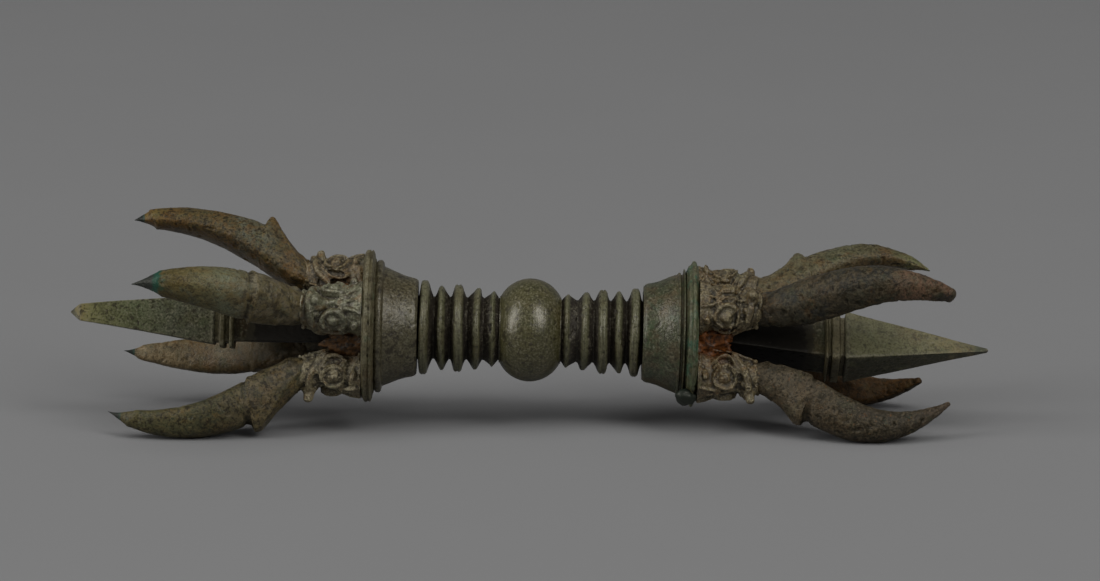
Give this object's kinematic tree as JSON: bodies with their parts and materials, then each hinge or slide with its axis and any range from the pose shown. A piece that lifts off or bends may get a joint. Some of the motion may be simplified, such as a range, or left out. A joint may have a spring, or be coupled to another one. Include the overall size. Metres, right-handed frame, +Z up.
{
  "type": "five-pronged vajra",
  "caption": "Open bronze ritual sceptre: a ringed grip with a ball in the middle, and at each end makara heads that hold curved prongs round a four-sided spike.",
  "frame": {"origin": "centre of the grip ball, on the axis of the grip", "axes": "+X along the grip towards the right-hand end of the picture, +Y away from the camera, +Z up as the object lies on its lower prongs"},
  "size_m": [0.18, 0.0417, 0.0412],
  "materials": {
    "grip_bronze": "dark olive-brown patina, semi-gloss where handled",
    "head_bronze": "brown-grey patina with pale worn edges and soil in the hollows",
    "prong_bronze": "olive to brown patina, speckled, dark green at the tips",
    "core_iron": "rusted iron, hidden inside the grip"
  },
  "bodies": {
    "root": {"core_rod": "core_iron", "grip_ball": "grip_bronze", "ring_left_1": "grip_bronze", "ring_left_2": "grip_bronze", "ring_left_3": "grip_bronze", "ring_left_4": "grip_bronze", "ring_left_5": "grip_bronze", "ring_right_1": "grip_bronze", "ring_right_2": "grip_bronze", "ring_right_3": "grip_bronze", "ring_right_4": "grip_bronze", "ring_right_5": "grip_bronze", "collar_left": "grip_bronze", "collar_right": "grip_bronze", "plate_left": "grip_bronze", "plate_right": "grip_bronze", "head_left_upper_back": "head_bronze", "head_left_upper_front": "head_bronze", "head_left_lower_front": "head_bronze", "head_left_lower_back": "head_bronze", "head_right_upper_back": "head_bronze", "head_right_upper_front": "head_bronze", "head_right_lower_front": "head_bronze", "head_right_lower_back": "head_bronze", "prong_left_upper_back": "prong_bronze", "prong_left_upper_front": "prong_bronze", "prong_left_lower_front": "prong_bronze", "prong_left_lower_back": "prong_bronze", "prong_right_upper_back": "prong_bronze", "prong_right_upper_front": "prong_bronze", "prong_right_lower_front": "prong_bronze", "prong_right_lower_back": "prong_bronze", "centre_prong_left": "prong_bronze", "centre_prong_right": "prong_bronze", "centre_band_left": "prong_bronze", "centre_band_right": "prong_bronze"}
  },
  "joints": []
}
